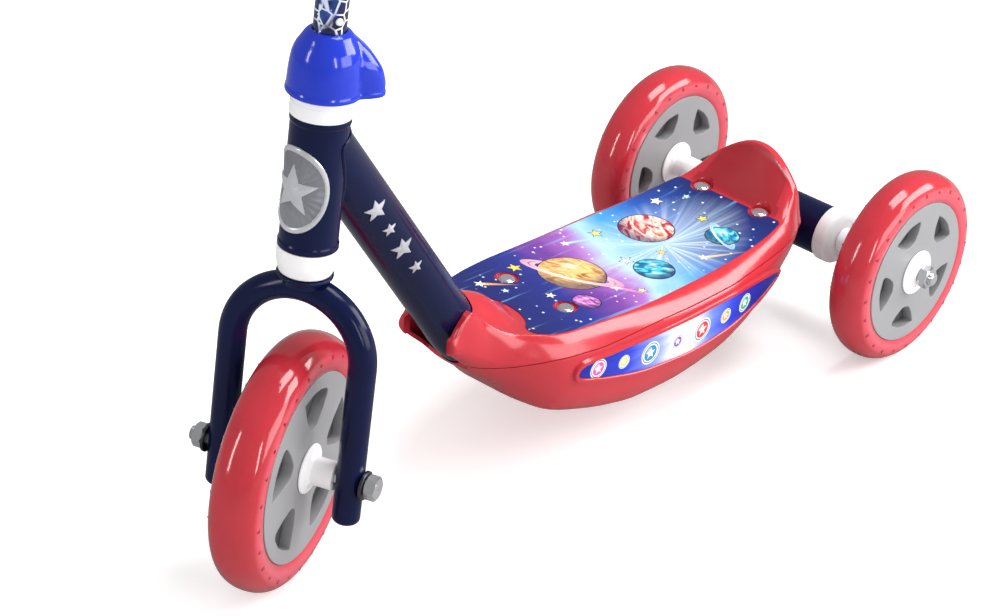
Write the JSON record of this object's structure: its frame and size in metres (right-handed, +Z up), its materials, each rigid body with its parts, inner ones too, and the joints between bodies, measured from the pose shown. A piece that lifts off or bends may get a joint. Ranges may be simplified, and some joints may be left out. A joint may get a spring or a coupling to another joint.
{
  "type": "three wheel kids scooter",
  "caption": "Child's kick scooter with a fork-steered front wheel, a wheel at each end of the rear axle, a moulded plastic deck on a bent steel tube, and a T handlebar above a covered clamp.",
  "frame": {"origin": "On the ground, midway along the whole length and on the middle plane of the deck", "axes": "Front is -Y, the rider's left is +X, +Z is up. The steering axis leans back 5 degrees and at rest the handlebar is turned 19 degrees to the left."},
  "size_m": [0.2914, 0.5856, 0.646],
  "materials": {
    "frame_paint": "gloss",
    "deck_plastic": "gloss",
    "deck_print": "gloss",
    "side_print": "gloss",
    "white_plastic": "satin",
    "wheel_grey": "satin",
    "tyre": "gloss",
    "grip": "matte",
    "cover_blue": "gloss",
    "chrome_steel": "polished",
    "plain_steel": "satin"
  },
  "bodies": {
    "frame": {"head_tube": "frame_paint", "main_tube": "frame_paint", "rear_cross_tube": "frame_paint", "cross_tube_cap_left": "white_plastic", "cross_tube_cap_right": "white_plastic", "rear_axle": "chrome_steel", "rear_axle_nut_left": "chrome_steel", "rear_axle_nut_right": "chrome_steel", "deck_top": "deck_plastic", "deck_hull": "deck_plastic", "deck_print": "deck_print", "side_print_left": "side_print", "side_print_right": "side_print", "deck_screw_1": "chrome_steel", "deck_screw_2": "chrome_steel", "deck_screw_3": "chrome_steel", "deck_screw_4": "chrome_steel", "deck_bracket_front": "plain_steel", "deck_bracket_rear": "plain_steel", "headset_bush_lower": "white_plastic", "headset_bush_upper": "white_plastic"},
    "steering": {"fork": "frame_paint", "crown_ring": "frame_paint", "steerer_tube": "frame_paint", "handlebar_column": "frame_paint", "handlebar_crossbar": "frame_paint", "grip_left": "grip", "grip_right": "grip", "clamp_ring": "plain_steel", "clamp_bolt": "chrome_steel", "clamp_cover": "cover_blue", "front_axle_bolt": "chrome_steel", "front_axle_nut": "chrome_steel", "front_axle_washer_left": "plain_steel", "front_axle_washer_right": "plain_steel"},
    "front_wheel": {"front_wheel_tyre": "tyre", "front_wheel_disc": "wheel_grey", "front_wheel_bush_left": "white_plastic", "front_wheel_bush_right": "white_plastic"},
    "rear_left_wheel": {"rear_left_wheel_tyre": "tyre", "rear_left_wheel_disc": "wheel_grey", "rear_left_bush_inner": "white_plastic", "rear_left_bush_outer": "white_plastic"},
    "rear_right_wheel": {"rear_right_wheel_tyre": "tyre", "rear_right_wheel_disc": "wheel_grey", "rear_right_bush_inner": "white_plastic", "rear_right_bush_outer": "white_plastic"},
    "snap_lock": {"snap_button": "white_plastic", "snap_spring": "plain_steel"}
  },
  "joints": [
    {"name": "steering", "type": "hinge", "parent": "frame", "child": "steering", "pos_m": [0, -0.22139, 0.075], "axis": [0, 0.0872, 0.9962], "range_deg": [-59, 21]},
    {"name": "front_wheel_spin", "type": "hinge", "parent": "steering", "child": "front_wheel", "pos_m": [0, -0.22139, 0.075], "axis": [0.9455, 0.3243, -0.0284], "continuous": true},
    {"name": "rear_left_wheel_spin", "type": "hinge", "parent": "frame", "child": "rear_left_wheel", "pos_m": [0.0968, 0.23061, 0.0625], "axis": [1, 0, 0], "continuous": true},
    {"name": "rear_right_wheel_spin", "type": "hinge", "parent": "frame", "child": "rear_right_wheel", "pos_m": [-0.0968, 0.23061, 0.0625], "axis": [1, 0, 0], "continuous": true},
    {"name": "snap_button_press", "type": "slide", "parent": "steering", "child": "snap_lock", "axis": [-0.9578, 0.2863, -0.025], "range_m": [0, 0.0014], "stiffness_N_per_m": 1500}
  ]
}
